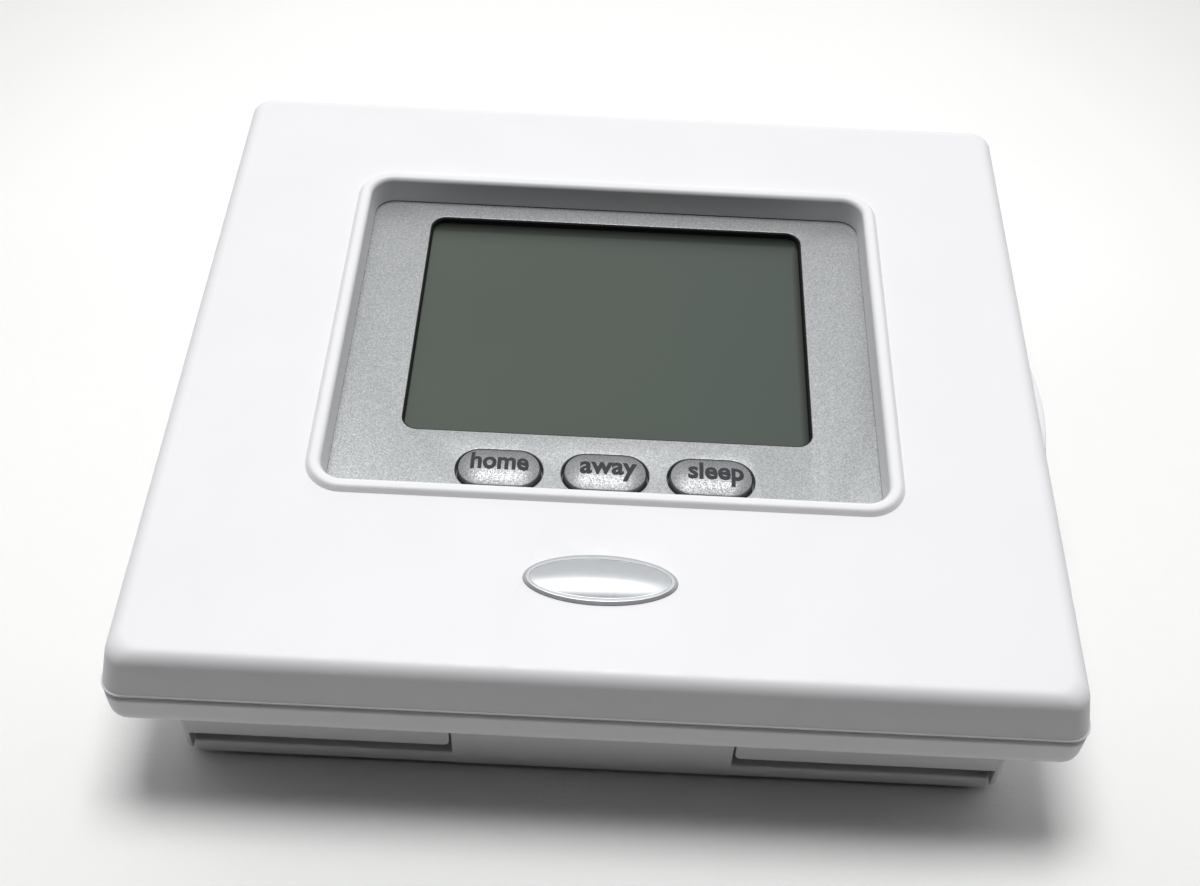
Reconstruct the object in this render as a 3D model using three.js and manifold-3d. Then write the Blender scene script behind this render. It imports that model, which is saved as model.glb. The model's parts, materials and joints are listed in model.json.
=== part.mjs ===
// Wall thermostat: a body with a flip-open front door, plugged onto a terminal base on the wall.
// It lies on its back: +Z points out of the face, +Y to the top edge, +X to the right. Millimetres.
// The origin is the centre of the mounting base's back face.

import * as THREE from 'three';
import { mergeVertices } from 'three/addons/utils/BufferGeometryUtils.js';
import Module from 'manifold-3d';

const wasm = await Module();
wasm.setup();

// ---- driving dimensions -------------------------------------------------------------------

const WIDTH = 132;
const HEIGHT = 119.2;
const CORNER_RADIUS = 3;
const GAP = 0.3;

// heights above the wall
const BASE_PLATE = 2;
const BASE_WALL_TOP = 3.6;
const SIDE_SKIRT_BOTTOM = 1.6;
const TONGUE_BOTTOM = 5.9;
const RIM_BOTTOM = 15;
const TRAY_FLOOR = 16.4;
const BOARD_BOTTOM = 18.6;
const RIM_TOP = 22.3;
const DOOR_BOTTOM = 23.3;
const FASCIA_TOP = 26.4;
const DOOR_FACE = 30.5;
const LIP_TOP = 31.3;

// mounting base and the skirt of the body around it
const SKIRT_WIDTH = 117.4;
const SKIRT_HEIGHT = 109.2;
const SKIRT_WALL = 1.2;
const SKIRT_DRAFT = 0.1;
const BASE_WIDTH = 113.9;
const BASE_TOP = 53;
const BASE_WALL = 1.6;
const BASE_STEP = 1;
const BASE_WALL_HEIGHT = 9;
const CENTRE_WALL = { width: 40, thickness: 1.8 };
const RIB = { spread: 19, width: 1.4, depth: 5, top: 12 };
const HOOK = { x: 34, ys: [48, -43], width: 10, thickness: 2, top: 12.6 };
const VENTS = { count: 9, pitch: 10, width: 7, low: 8, high: 9.6 };
const WIRE_OPENING = { width: 36, height: 22, centre: [0, 16] };
const SCREW_SLOT = { width: 3.8, length: 10 };
const SCREW_SLOT_X = 47;
const SCREW_SLOT_Y = 30;

// terminals
const BLOCK = { width: 14, length: 46, height: 9 };
const BLOCK_X = 33;
const BLOCK_Y = 10;
const TERMINALS_PER_BLOCK = 4;
const TERMINAL_PITCH = 11;
const TERMINAL_OFFSET = 3;
const TERMINAL_SCREW = { head: 2.2, headHeight: 1.6, shank: 1.1, length: 3.8 };
const WIRE_HOLE = { width: 3.2, low: 2.6, high: 5.4, depth: 3 };
const SOCKET = { offset: 4, width: 1.8, depth: 6 };
const PIN_SIDE = 0.9;
const PIN_LENGTH = 14.5;
const HEADER_STRIP = { width: 2.6, length: 37.6, height: 4 };

// body
const RIM_OVERHANG = 0.4;
const RIM_ROUND = 3.7;
const TRAY_WALL = 1.6;
const TRAY_FLOOR_BOTTOM = 14.4;
const BOARD = { width: 116, height: 104, thickness: 1.6 };
const BOARD_SCREW_X = 52;
const BOARD_SCREW_Y = 46;
const BOARD_SCREW = { head: 2.6, headHeight: 1.5, shank: 1.05, length: 3.6 };
const BOSS = { radius: 3, hole: 1.4 };
const RELAYS = { count: 4, pitch: 16, width: 10, length: 12, height: 3.6, first: [-49, 30] };
const CHIP = { side: 12, height: 1.6, place: [-20, -34] };
const SENSOR = { width: 4, height: 2.4, place: [0, -49] };

// fascia and display
const FASCIA = { width: 124.6, height: 111.6, thickness: 1.5, wall: 1.4 };
const DISPLAY = { width: 61.6, height: 46.8, radius: 2.5, centre: [0, 10] };
const BEZEL_WALL = 0.5;
const GLASS = { thickness: 2.7, top: 25.3 };
const BACKLIGHT = { width: 59, height: 38 };
const CONTACT_STRIP = { length: 54, width: 2, y: 21.2 };

// buttons
const TRAVEL = 0.8;
const PRESET = { width: 12.2, height: 6.9, radius: 3.4, top: 27.6 };
const MENU = { width: 12, height: 6, radius: 2.95, top: 27.2 };
const ARROW = { width: 11, height: 9, radius: 2.4, top: 27.2 };
const BUTTON_CLEARANCE = 0.35;
const FLANGE = { spread: 0.8, thickness: 0.8 };
const STEM_RADIUS = 1.4;
const PRESET_Y = -20.5;
const PRESET_PITCH = 15.5;
const MENU_Y = -43;
const MENU_PITCH = 24;
const ARROW_X = 52;
const ARROW_YS = [24, 8];
const SWITCH = { side: 6, height: 0.8, plunger: 1.7, top: 21.8 };
const STEM_BOTTOM = SWITCH.top + TRAVEL + GAP;

// door
const DOOR_WALL = 1.8;
const DOOR_FLARE = Math.tan(THREE.MathUtils.degToRad(13));
const DOOR_ROUND = 2.3;
const WINDOW = { width: 81.4, height: 64, radius: 3.5, centre: [0, 5] };
const LIP_WIDTH = 2.15;
const LIP_SHOULDER = 0.6;
const WINDOW_SKIRT = 1.6;
const BADGE = { width: 21, height: 8.2, thickness: 1, pocket: 0.6, centre: [0, -42.2] };
const HINGE = { x: -64.5, z: 24.8, bead: 1.5, ear: 1.25, hole: 0.9, pin: 0.6 };
const HINGE_YS = [42, -42];
const EAR_WIDTH = 5;
const HINGE_PIN_LENGTH = 13;
const TAB = { y: -4.5, length: 19, depth: 1.1, top: 27.6 };

// ---- solids -------------------------------------------------------------------------------

const CORNER_STEPS = 4;

// Points round a rounded rectangle, anticlockwise, the same number for every size.
function roundedRing(width, height, radius, centre = [0, 0], steps = CORNER_STEPS) {
  const corners = [[1, 1], [-1, 1], [-1, -1], [1, -1]];
  return corners.flatMap(([sx, sy], quarter) => {
    const x = centre[0] + sx * (width / 2 - radius);
    const y = centre[1] + sy * (height / 2 - radius);
    return Array.from({ length: steps + 1 }, (_, i) => {
      const angle = (quarter + i / steps) * Math.PI / 2;
      return new THREE.Vector2(x + radius * Math.cos(angle), y + radius * Math.sin(angle));
    });
  });
}

function ellipseRing(width, height, centre = [0, 0], steps = 32) {
  return Array.from({ length: steps }, (_, i) => {
    const angle = 2 * Math.PI * i / steps;
    return new THREE.Vector2(
      centre[0] + width / 2 * Math.cos(angle),
      centre[1] + height / 2 * Math.sin(angle),
    );
  });
}

function toSolid(geometry) {
  const plain = geometry.clone();
  plain.deleteAttribute('normal');
  plain.deleteAttribute('uv');
  const merged = mergeVertices(plain, 1e-4);
  return new wasm.Manifold(new wasm.Mesh({
    numProp: 3,
    vertProperties: new Float32Array(merged.attributes.position.array),
    triVerts: new Uint32Array(merged.index.array),
  }));
}

// Skins a stack of convex rings with equal point counts; each level is [ring, z], lowest first.
function loft(levels) {
  const count = levels[0][0].length;
  const points = levels.flatMap(([ring, z]) => ring.flatMap((p) => [p.x, p.y, z]));
  const faces = [];
  for (let level = 0; level < levels.length - 1; level += 1) {
    for (let i = 0; i < count; i += 1) {
      const a = level * count + i;
      const b = level * count + (i + 1) % count;
      faces.push(a, b, b + count, a, b + count, a + count);
    }
  }
  const top = (levels.length - 1) * count;
  for (let i = 1; i < count - 1; i += 1) {
    faces.push(0, i + 1, i, top, top + i, top + i + 1);
  }
  const geometry = new THREE.BufferGeometry();
  geometry.setAttribute('position', new THREE.Float32BufferAttribute(points, 3));
  geometry.setIndex(faces);
  return toSolid(geometry);
}

function slab(width, height, radius, low, high, centre = [0, 0]) {
  const ring = roundedRing(width, height, radius, centre);
  return loft([[ring, low], [ring, high]]);
}

function box(x0, x1, y0, y1, z0, z1) {
  const geometry = new THREE.BoxGeometry(x1 - x0, y1 - y0, z1 - z0);
  geometry.translate((x0 + x1) / 2, (y0 + y1) / 2, (z0 + z1) / 2);
  return toSolid(geometry);
}

function upright(radius, low, high, centre = [0, 0], sides = 14) {
  const geometry = new THREE.CylinderGeometry(radius, radius, high - low, sides);
  geometry.rotateX(Math.PI / 2);
  geometry.translate(centre[0], centre[1], (low + high) / 2);
  return toSolid(geometry);
}

// A round bar along Y.
function bar(radius, x, z, y0, y1, sides = 16) {
  const geometry = new THREE.CylinderGeometry(radius, radius, y1 - y0, sides);
  geometry.translate(x, (y0 + y1) / 2, z);
  return toSolid(geometry);
}

function joined(solids) {
  return solids.reduce((whole, piece) => whole.add(piece));
}

function cut(solid, tools) {
  return tools.reduce((rest, tool) => rest.subtract(tool), solid);
}

function toMesh(name, solid, material, position = [0, 0, 0]) {
  const { vertProperties, triVerts } = solid.getMesh();
  const geometry = new THREE.BufferGeometry();
  geometry.setAttribute('position', new THREE.BufferAttribute(new Float32Array(vertProperties), 3));
  geometry.setIndex(new THREE.BufferAttribute(new Uint32Array(triVerts), 1));
  geometry.computeVertexNormals();
  const mesh = new THREE.Mesh(geometry, material);
  mesh.name = name;
  mesh.position.set(...position);
  return mesh;
}

function finish(color, roughness, metalness = 0) {
  return new THREE.MeshStandardMaterial({ color, roughness, metalness });
}

// ---- wall side: mounting base and terminals -------------------------------------------------

function terminalYs() {
  return Array.from(
    { length: TERMINALS_PER_BLOCK },
    (_, i) => (i - (TERMINALS_PER_BLOCK - 1) / 2) * TERMINAL_PITCH,
  );
}

function mountingBase() {
  const front = -SKIRT_HEIGHT / 2;
  const lowerWall = slab(
    BASE_WIDTH, BASE_TOP - front, 0.6, 0, BASE_WALL_TOP, [0, (BASE_TOP + front) / 2],
  );
  const upperWidth = BASE_WIDTH - 2 * BASE_STEP;
  const upperHeight = 2 * (BASE_TOP - BASE_STEP);
  const upperWall = slab(upperWidth, upperHeight, 1.5, BASE_WALL_TOP - 1, BASE_WALL_HEIGHT);
  const hollow = slab(
    upperWidth - 2 * BASE_WALL, upperHeight - 2 * BASE_WALL, 1, BASE_PLATE, BASE_WALL_HEIGHT + 1,
  );
  const half = CENTRE_WALL.width / 2;
  const centreWall = box(-half, half, front, front + CENTRE_WALL.thickness, 0, RIM_BOTTOM - GAP);
  const ribs = [-RIB.spread, 0, RIB.spread].map((x) => box(
    x - RIB.width / 2, x + RIB.width / 2, front + 1, front + 1 + RIB.depth, BASE_PLATE / 2, RIB.top,
  ));
  const hooks = [-HOOK.x, HOOK.x].flatMap((x) => HOOK.ys.map((y) => box(
    x - HOOK.width / 2, x + HOOK.width / 2, y - HOOK.thickness / 2, y + HOOK.thickness / 2,
    BASE_PLATE / 2, HOOK.top,
  )));
  const { width, height, centre } = WIRE_OPENING;
  const slots = [-SCREW_SLOT_X, SCREW_SLOT_X].flatMap((x) => [-SCREW_SLOT_Y, SCREW_SLOT_Y].map(
    (y) => slab(SCREW_SLOT.width, SCREW_SLOT.length, 1.85, -1, 2 * BASE_PLATE, [x, y]),
  ));
  const shell = cut(joined([lowerWall, upperWall]), [hollow]);
  return cut(joined([shell, centreWall, ...ribs, ...hooks]), [
    slab(width, height, 3, -1, 2 * BASE_PLATE, centre),
    ...slots,
  ]);
}

// Centred on its own footprint, its bottom at z = 0; side is +1 when the wires enter from -X.
function terminalBlock(side) {
  const { head, headHeight, shank, length } = TERMINAL_SCREW;
  const { height } = BLOCK;
  const seat = height - headHeight - shank - 0.5;
  const wireX = -side * BLOCK.width / 2;
  const socketX = side * SOCKET.offset;
  const half = SOCKET.width / 2;
  const tools = terminalYs().flatMap((y) => [
    upright(head + 0.4, seat, height + 1, [-side * TERMINAL_OFFSET, y]),
    upright(shank + 0.4, seat - length - 0.4, height, [-side * TERMINAL_OFFSET, y], 8),
    box(wireX - WIRE_HOLE.depth, wireX + WIRE_HOLE.depth,
      y - WIRE_HOLE.width / 2, y + WIRE_HOLE.width / 2, WIRE_HOLE.low, WIRE_HOLE.high),
    box(socketX - half, socketX + half, y - half, y + half, height - SOCKET.depth, height + 1),
  ]);
  return cut(slab(BLOCK.width, BLOCK.length, 0.8, 0, height), tools);
}

// The head stands on z = 0 and the shank hangs below it, for the terminals and the circuit board.
function screw({ head, headHeight, shank, length }) {
  const slot = box(-head, head, -0.3, 0.3, headHeight - 0.7, headHeight + 1);
  const solid = joined([upright(head, 0, headHeight), upright(shank, -length, 0.2, [0, 0], 8)]);
  return cut(solid, [slot]);
}

// ---- body: rear housing, circuit board, display and fascia -----------------------------------

function rimRing(inset) {
  return roundedRing(
    WIDTH - 2 * RIM_OVERHANG - 2 * inset,
    HEIGHT - 2 * RIM_OVERHANG - 2 * inset,
    Math.max(CORNER_RADIUS + 0.2 - inset, 1),
  );
}

function skirtRing(inset, taper) {
  return roundedRing(SKIRT_WIDTH - 2 * (inset + taper), SKIRT_HEIGHT - 2 * inset, 1.4 - inset / 2);
}

function rearHousing() {
  const rim = loft([0, 0.25, 0.5, 0.75, 1].map((t) => {
    const angle = t * Math.PI / 2;
    return [rimRing(RIM_ROUND * (1 - Math.sin(angle))), RIM_BOTTOM + RIM_ROUND * (1 - Math.cos(angle))];
  }).concat([[rimRing(0), RIM_TOP]]));
  const skirt = loft([
    [skirtRing(0, SKIRT_DRAFT), SIDE_SKIRT_BOTTOM],
    [skirtRing(0, 0), RIM_BOTTOM + 0.5],
  ]);
  const tray = slab(
    WIDTH - 2 * (RIM_OVERHANG + TRAY_WALL), HEIGHT - 2 * (RIM_OVERHANG + TRAY_WALL), 3,
    TRAY_FLOOR, RIM_TOP + 1,
  );
  const back = loft([
    [skirtRing(SKIRT_WALL, SKIRT_DRAFT), SIDE_SKIRT_BOTTOM - 1],
    [skirtRing(SKIRT_WALL, 0), TRAY_FLOOR_BOTTOM],
  ]);
  const front = -SKIRT_HEIGHT / 2;
  const half = CENTRE_WALL.width / 2 + GAP;
  const outer = SKIRT_WIDTH / 2 - SKIRT_WALL - SKIRT_DRAFT;
  const tools = [
    tray,
    back,
    box(-half, half, front - 1, front + CENTRE_WALL.thickness + 2 * GAP, 0, RIM_BOTTOM),
    box(-outer, outer, front - 1, front + 3, 0, TONGUE_BOTTOM),
    ...[-1, 1].map((side) => slab(
      5, BLOCK.length - 4, 1, TRAY_FLOOR_BOTTOM - 0.4, TRAY_FLOOR + 0.6, headerPlace(side),
    )),
    ...Array.from({ length: VENTS.count }, (_, i) => {
      const x = (i - (VENTS.count - 1) / 2) * VENTS.pitch;
      return box(x - VENTS.width / 2, x + VENTS.width / 2, -front - 3, -front + 1, VENTS.low, VENTS.high);
    }),
  ];
  const bosses = boardScrewPlaces().map((place) => cut(
    upright(BOSS.radius, TRAY_FLOOR - 0.5, BOARD_BOTTOM - GAP, place),
    [upright(BOSS.hole, TRAY_FLOOR, BOARD_BOTTOM, place, 8)],
  ));
  const ears = HINGE_YS.map((y) => cut(
    joined([
      bar(HINGE.ear, HINGE.x, HINGE.z, y - EAR_WIDTH / 2, y + EAR_WIDTH / 2),
      box(HINGE.x - 1.1, HINGE.x + HINGE.ear, y - EAR_WIDTH / 2, y + EAR_WIDTH / 2,
        RIM_TOP - 3, HINGE.z),
    ]),
    [bar(HINGE.hole, HINGE.x, HINGE.z, y - EAR_WIDTH, y + EAR_WIDTH, 12)],
  ));
  return joined([cut(joined([rim, skirt]), tools), ...bosses, ...ears]);
}

function boardScrewPlaces() {
  return [-1, 1].flatMap((sx) => [-1, 1].map((sy) => [sx * BOARD_SCREW_X, sy * BOARD_SCREW_Y]));
}

function headerPlace(side) {
  return [side * (BLOCK_X + SOCKET.offset), BLOCK_Y];
}

function circuitBoard() {
  const board = slab(BOARD.width, BOARD.height, 2, BOARD_BOTTOM, boardTop);
  const low = BOARD_BOTTOM - 1;
  const high = boardTop + 1;
  const holes = boardScrewPlaces().map((place) => upright(BOSS.hole + 0.1, low, high, place, 8));
  const pinSlots = [-1, 1].map((side) => slab(
    HEADER_STRIP.width + 0.8, HEADER_STRIP.length + 2.4, 1, low, high, headerPlace(side),
  ));
  return cut(board, [...holes, ...pinSlots]);
}

// A strip that stands in the board's slot, with one blade for each terminal; its top is at z = 0.
function pinHeader() {
  const { width, length, height } = HEADER_STRIP;
  const strip = box(-width / 2, width / 2, -length / 2, length / 2, -height, 0);
  const half = PIN_SIDE / 2;
  const pins = terminalYs().map((y) => box(-half, half, y - half, y + half, -PIN_LENGTH, 1 - height));
  return joined([strip, ...pins]);
}

function buttonOpening(style, centre) {
  const spread = 2 * BUTTON_CLEARANCE;
  return slab(
    style.width + spread, style.height + spread, style.radius + BUTTON_CLEARANCE,
    TRAY_FLOOR, DOOR_FACE, centre,
  );
}

function fascia() {
  const { width, height, thickness, wall } = FASCIA;
  const outside = slab(width, height, 2.5, TRAY_FLOOR + GAP, FASCIA_TOP);
  const inside = slab(width - 2 * wall, height - 2 * wall, 1.2, TRAY_FLOOR, FASCIA_TOP - thickness);
  const display = slab(
    DISPLAY.width, DISPLAY.height, DISPLAY.radius, TRAY_FLOOR, DOOR_FACE, DISPLAY.centre,
  );
  return cut(outside, [inside, display, ...buttons.map(({ style, at }) => buttonOpening(style, at))]);
}

function displayBezel() {
  const { width, height, radius, centre } = DISPLAY;
  const low = GLASS.top - GLASS.thickness - 0.5;
  const outside = slab(
    width - 2 * GAP, height - 2 * GAP, radius - GAP, low, FASCIA_TOP - GAP, centre,
  );
  const inset = GAP + BEZEL_WALL;
  return cut(outside, [
    slab(width - 2 * inset, height - 2 * inset, radius - inset, low - 1, FASCIA_TOP, centre),
  ]);
}

function displayGlass() {
  const inset = 2 * GAP + BEZEL_WALL;
  const { width, height, radius, centre } = DISPLAY;
  return slab(
    width - 2 * inset, height - 2 * inset, radius - inset,
    GLASS.top - GLASS.thickness, GLASS.top, centre,
  );
}

// ---- buttons and switches --------------------------------------------------------------------

// A domed key with a retaining flange behind the fascia and a stem over its switch.
function button(style) {
  const { width, height, radius, top } = style;
  const key = loft([
    [roundedRing(width, height, radius), FASCIA_TOP - 2],
    [roundedRing(width, height, radius), top - 0.9],
    [roundedRing(width - 1, height - 1, radius - 0.5), top - 0.3],
    [roundedRing(width - 3.6, height - 3.6, Math.max(radius - 1.8, 0.2)), top],
  ]);
  const underside = FASCIA_TOP - FASCIA.thickness;
  const halfWidth = width / 2 + FLANGE.spread;
  const halfHeight = height / 2 + FLANGE.spread;
  const flangeTop = underside - 0.4;
  const flange = box(
    -halfWidth, halfWidth, -halfHeight, halfHeight, flangeTop - FLANGE.thickness, flangeTop,
  );
  const stem = upright(STEM_RADIUS, STEM_BOTTOM, underside - 1, [0, 0], 8);
  return joined([key, flange, stem]);
}

function tactSwitch() {
  const half = SWITCH.side / 2;
  const body = box(-half, half, -half, half, 0, SWITCH.height);
  const plungerTop = SWITCH.top - boardTop - GAP;
  return joined([body, upright(SWITCH.plunger, SWITCH.height - 0.2, plungerTop, [0, 0], 8)]);
}

// ---- door ------------------------------------------------------------------------------------

function doorRing(inset) {
  const radius = Math.max(CORNER_RADIUS - inset * 0.4, 0.8);
  return roundedRing(WIDTH - 2 * inset, HEIGHT - 2 * inset, radius);
}

// The door's outside and inside, before the window and the hinge are cut.
function doorShell() {
  const shoulder = DOOR_FACE - DOOR_ROUND;
  const lean = (shoulder - DOOR_BOTTOM) * DOOR_FLARE;
  const round = [0, 0.25, 0.5, 0.75, 1].map((t) => {
    const angle = t * Math.PI / 2;
    return [doorRing(lean + DOOR_ROUND * (1 - Math.cos(angle))), shoulder + DOOR_ROUND * Math.sin(angle)];
  });
  const outside = loft([[doorRing(0), DOOR_BOTTOM], ...round]);
  const inside = loft([
    [doorRing(DOOR_WALL - DOOR_FLARE), DOOR_BOTTOM - 1],
    [doorRing(DOOR_WALL + lean), DOOR_FACE - DOOR_WALL],
  ]);
  return [outside, inside];
}

function windowRing(spread) {
  const { width, height, radius, centre } = WINDOW;
  return roundedRing(width + 2 * spread, height + 2 * spread, radius + spread, centre);
}

function door() {
  const [outside, inside] = doorShell();
  const straight = HEIGHT / 2 - CORNER_RADIUS;
  const bead = bar(HINGE.bead, HINGE.x, HINGE.z, -straight, straight, 20);
  const sharpEdge = cut(
    box(-WIDTH / 2 - 1, HINGE.x + HINGE.bead, -straight, straight, DOOR_BOTTOM - 1, HINGE.z),
    [bead],
  );
  const lip = loft([
    [windowRing(LIP_WIDTH), DOOR_FACE - 1],
    [windowRing(LIP_WIDTH), DOOR_FACE + 0.3],
    [windowRing(LIP_WIDTH - LIP_SHOULDER), LIP_TOP],
  ]);
  const skirt = loft([
    [windowRing(WINDOW_SKIRT), FASCIA_TOP + GAP],
    [windowRing(WINDOW_SKIRT), DOOR_FACE - 1],
  ]);
  const window = loft([[windowRing(0), DOOR_BOTTOM], [windowRing(0), LIP_TOP + 1]]);
  const pocket = ellipseRing(BADGE.width + 2 * GAP, BADGE.height + 2 * GAP, BADGE.centre);
  const tools = [
    window,
    sharpEdge,
    loft([[pocket, DOOR_FACE - BADGE.pocket], [pocket, DOOR_FACE + 1]]),
    ...HINGE_YS.flatMap((y) => [
      box(-WIDTH / 2 - 1, HINGE.x + 2.2, y - EAR_WIDTH / 2 - 0.4, y + EAR_WIDTH / 2 + 0.4,
        DOOR_BOTTOM - 1, HINGE.z + 1.9),
      bar(HINGE.hole, HINGE.x, HINGE.z, y - HINGE_PIN_LENGTH / 2 - GAP, y + HINGE_PIN_LENGTH / 2 + GAP, 12),
    ]),
  ];
  return cut(joined([cut(outside, [inside]), bead, lip, skirt, fingerTab()]), tools);
}

// A shallow arc that stands out of the right wall, for a fingertip.
function fingerTab() {
  const sagitta = TAB.depth + 0.9;
  const radius = (TAB.length ** 2 / 4 + sagitta ** 2) / (2 * sagitta);
  const outline = new THREE.Shape();
  const half = Math.asin(TAB.length / 2 / radius);
  outline.absarc(WIDTH / 2 + TAB.depth - radius, TAB.y, radius, -half, half, false);
  outline.closePath();
  const geometry = new THREE.ExtrudeGeometry(outline, {
    depth: TAB.top - DOOR_BOTTOM, bevelEnabled: false, curveSegments: 12,
  });
  geometry.translate(0, 0, DOOR_BOTTOM);
  return toSolid(geometry);
}

function badge() {
  const { width, height, thickness } = BADGE;
  return loft([
    [ellipseRing(width, height), 0],
    [ellipseRing(width, height), 0.6 * thickness],
    [ellipseRing(width - 0.6, height - 0.6), 0.85 * thickness],
    [ellipseRing(width * 0.6, height * 0.6), thickness],
  ]);
}

// ---- assembly --------------------------------------------------------------------------------

const boardTop = BOARD_BOTTOM + BOARD.thickness;

const buttons = [
  { name: 'home_button', style: PRESET, at: [-PRESET_PITCH, PRESET_Y] },
  { name: 'away_button', style: PRESET, at: [0, PRESET_Y] },
  { name: 'sleep_button', style: PRESET, at: [PRESET_PITCH, PRESET_Y] },
  { name: 'temp_up_button', style: ARROW, at: [ARROW_X, ARROW_YS[0]] },
  { name: 'temp_down_button', style: ARROW, at: [ARROW_X, ARROW_YS[1]] },
  { name: 'mode_button', style: MENU, at: [-1.5 * MENU_PITCH, MENU_Y] },
  { name: 'fan_button', style: MENU, at: [-0.5 * MENU_PITCH, MENU_Y] },
  { name: 'program_button', style: MENU, at: [0.5 * MENU_PITCH, MENU_Y] },
  { name: 'hold_button', style: MENU, at: [1.5 * MENU_PITCH, MENU_Y] },
];

const thermostat = new THREE.Group();

const wallSide = new THREE.Group();
thermostat.add(wallSide);
wallSide.add(toMesh('mounting_base', mountingBase(), finish('#e4e4e2', 0.5)));
for (const [word, side] of [['left', -1], ['right', 1]]) {
  const blockFinish = finish('#3b3d3e', 0.55);
  const low = BASE_PLATE + GAP;
  wallSide.add(toMesh(
    `terminal_block_${word}`, terminalBlock(side), blockFinish, [side * BLOCK_X, BLOCK_Y, low],
  ));
  terminalYs().forEach((y, i) => {
    const place = [side * (BLOCK_X - TERMINAL_OFFSET), BLOCK_Y + y, low + BLOCK.height - 2.9];
    const name = `terminal_screw_${word}_${i + 1}`;
    wallSide.add(toMesh(name, screw(TERMINAL_SCREW), finish('#c9a64e', 0.35, 0.9), place));
  });
}

const body = new THREE.Group();
thermostat.add(body);
body.add(toMesh('rear_housing', rearHousing(), finish('#e6e6e6', 0.45)));
body.add(toMesh('circuit_board', circuitBoard(), finish('#1d6b3a', 0.5)));
const onBoard = boardTop + GAP;
boardScrewPlaces().forEach(([x, y], i) => body.add(toMesh(
  `board_screw_${i + 1}`, screw(BOARD_SCREW), finish('#a7a9ab', 0.3, 0.9), [x, y, onBoard],
)));
body.add(toMesh('fascia', fascia(), finish('#b4b7b8', 0.42, 0.55)));
body.add(toMesh('display_bezel', displayBezel(), finish('#151617', 0.4)));
body.add(toMesh('display_glass', displayGlass(), finish('#4a534b', 0.08)));
const [displayX, displayY] = DISPLAY.centre;
const underGlass = GLASS.top - GLASS.thickness - GAP;
body.add(toMesh(
  'display_backlight',
  slab(BACKLIGHT.width, BACKLIGHT.height, 1, onBoard, underGlass, DISPLAY.centre),
  finish('#e8efe9', 0.6),
));
for (const [word, side] of [['upper', 1], ['lower', -1]]) {
  const half = { x: CONTACT_STRIP.length / 2, y: CONTACT_STRIP.width / 2 };
  const strip = box(-half.x, half.x, -half.y, half.y, onBoard, underGlass);
  const place = [displayX, displayY + side * CONTACT_STRIP.y, 0];
  body.add(toMesh(`${word}_contact_strip`, strip, finish('#7d7f80', 0.8), place));
}
const chip = slab(CHIP.side, CHIP.side, 0.4, 0, CHIP.height);
body.add(toMesh('control_chip', chip, finish('#1b1c1e', 0.5), [...CHIP.place, onBoard]));
const bead = loft([
  [ellipseRing(0.85 * SENSOR.width, 0.85 * SENSOR.width, [0, 0], 14), 0],
  [ellipseRing(SENSOR.width, SENSOR.width, [0, 0], 14), SENSOR.height / 2],
  [ellipseRing(SENSOR.width / 2, SENSOR.width / 2, [0, 0], 14), SENSOR.height],
]);
body.add(toMesh('temperature_sensor', bead, finish('#2f5d8c', 0.35), [...SENSOR.place, onBoard]));
for (let i = 0; i < RELAYS.count; i += 1) {
  const place = [RELAYS.first[0], RELAYS.first[1] - i * RELAYS.pitch, onBoard];
  const cover = slab(RELAYS.width, RELAYS.length, 0.6, 0, RELAYS.height);
  body.add(toMesh(`relay_${i + 1}`, cover, finish('#e9e7df', 0.4), place));
}
for (const [word, side] of [['left', -1], ['right', 1]]) {
  const place = [...headerPlace(side), boardTop + 0.2];
  body.add(toMesh(`pin_header_${word}`, pinHeader(), finish('#26282a', 0.5), place));
}
HINGE_YS.forEach((y, i) => body.add(toMesh(
  `hinge_pin_${i === 0 ? 'upper' : 'lower'}`,
  bar(HINGE.pin, HINGE.x, HINGE.z, y - HINGE_PIN_LENGTH / 2, y + HINGE_PIN_LENGTH / 2, 12),
  finish('#b9bbbd', 0.25, 0.95),
)));
for (const { name, style, at } of buttons) {
  const place = [at[0], at[1], onBoard];
  body.add(toMesh(name.replace('_button', '_switch'), tactSwitch(), finish('#2a2b2d', 0.45), place));
  body.add(toMesh(name, button(style), finish('#85898b', 0.35, 0.6), [at[0], at[1], 0]));
}

const cover = new THREE.Group();
body.add(cover);
cover.add(toMesh('door', door(), finish('#ececee', 0.38)));
cover.add(toMesh(
  'badge', badge(), finish('#c3c6ca', 0.28, 0.8), [...BADGE.centre, DOOR_FACE - GAP],
));

export default thermostat;
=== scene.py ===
"""Looks of a wall thermostat that lies on its back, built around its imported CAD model.

Lengths are in millimetres and meshes are scaled to metres when they are made. The frame is the CAD
frame: +Z out of the face, +Y to the top edge, +X to the right, the mounting base's back at z = 0.
"""

import json
from math import cos, pi, radians, sin, sqrt, tan

import bmesh
import bpy
from mathutils import Matrix, Vector


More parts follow.
